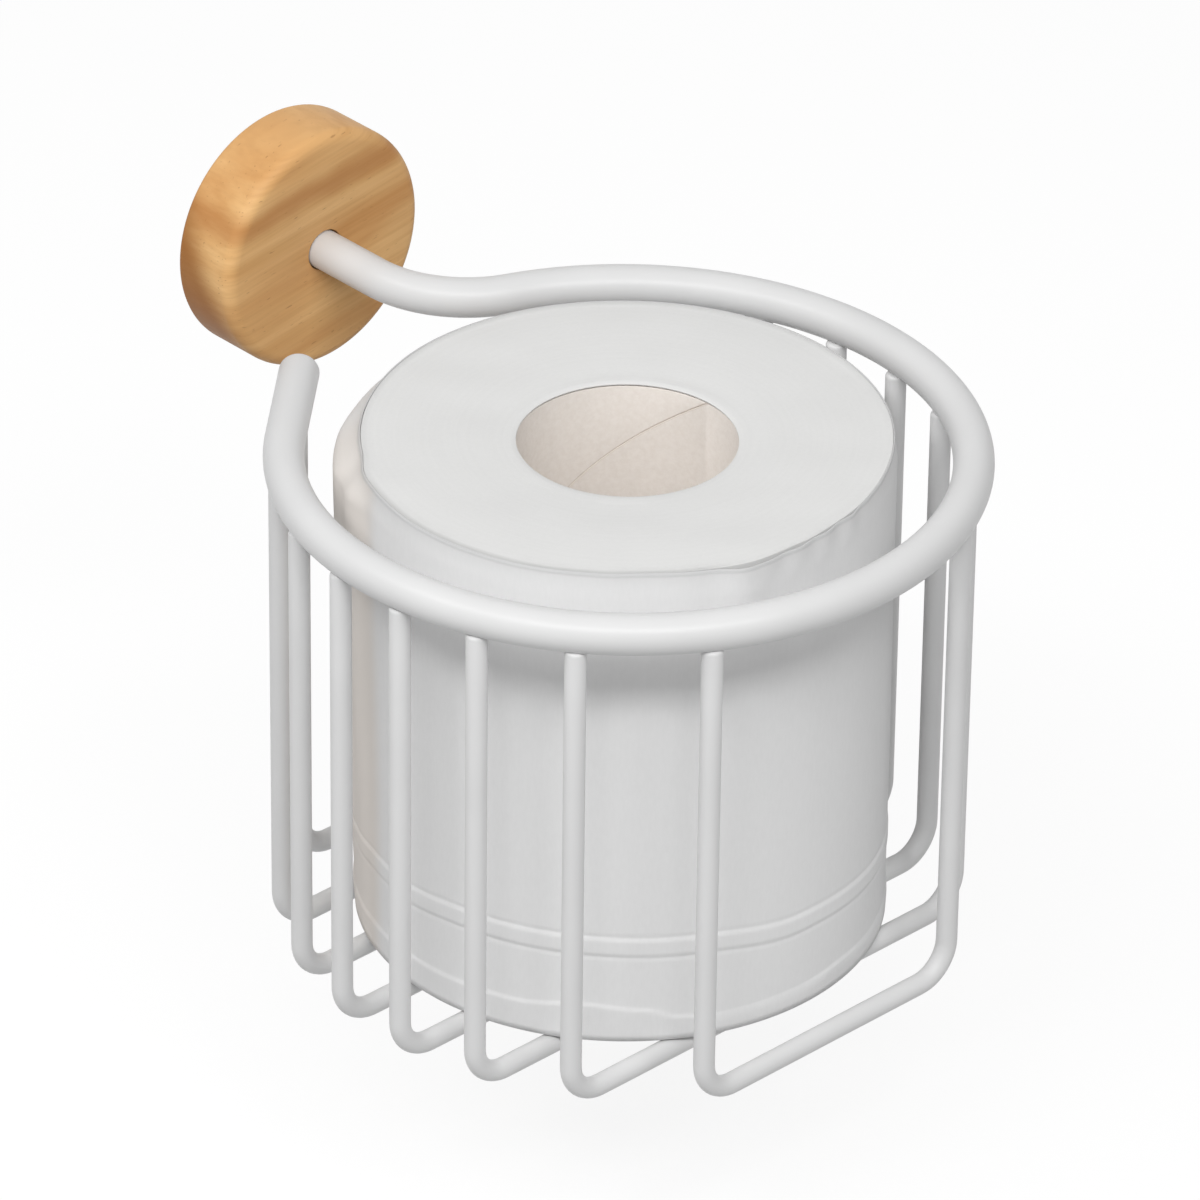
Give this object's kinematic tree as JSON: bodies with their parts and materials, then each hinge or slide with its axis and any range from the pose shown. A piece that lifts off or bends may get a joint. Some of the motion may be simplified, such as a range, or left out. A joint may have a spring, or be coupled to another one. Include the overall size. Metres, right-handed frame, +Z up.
{
  "type": "wall-mounted tissue roll basket",
  "caption": "Wall basket that holds an upright tissue roll: an open ring of bent rod with U-shaped wires below it, fixed to the wall by a round wooden disc.",
  "frame": {"origin": "middle of the round wall disc, on the wall plane", "axes": "+Y into the wall, +Z up, +X to the right for someone who faces the wall; the room is on -Y and the ring lies level at z = 0"},
  "size_m": [0.14, 0.184, 0.1317],
  "materials": {
    "beech": "satin",
    "white_paint": "satin",
    "white_wire_paint": "satin",
    "zinc_plated_steel": "satin",
    "washer_steel": "satin",
    "tie_steel": "satin",
    "brass": "satin",
    "blackened_steel": "matte",
    "cardboard": "matte",
    "tissue": "matte",
    "loose_tissue": "matte"
  },
  "bodies": {
    "holder": {"wood_disc": "beech", "wall_bracket": "zinc_plated_steel", "tie_washer": "washer_steel", "tie_screw": "tie_steel", "thread_insert": "brass", "grub_screw": "blackened_steel", "ring_rod": "white_paint", "basket_wire_1": "white_wire_paint", "basket_wire_2": "white_wire_paint", "basket_wire_3": "white_wire_paint", "basket_wire_4": "white_wire_paint", "basket_wire_5": "white_wire_paint", "basket_wire_6": "white_wire_paint", "basket_wire_7": "white_wire_paint", "basket_wire_8": "white_wire_paint"},
    "core": {"roll_core": "cardboard"},
    "paper": {"roll_paper": "tissue", "roll_wrap": "loose_tissue"}
  },
  "joints": [
    {"name": "roll_lift", "type": "slide", "parent": "holder", "child": "core", "axis": [0, 0, 1], "range_m": [0, 0.115]},
    {"name": "roll_turn", "type": "hinge", "parent": "core", "child": "paper", "pos_m": [-0.0087, -0.1122, 0], "axis": [0, 0, 1], "continuous": true}
  ]
}
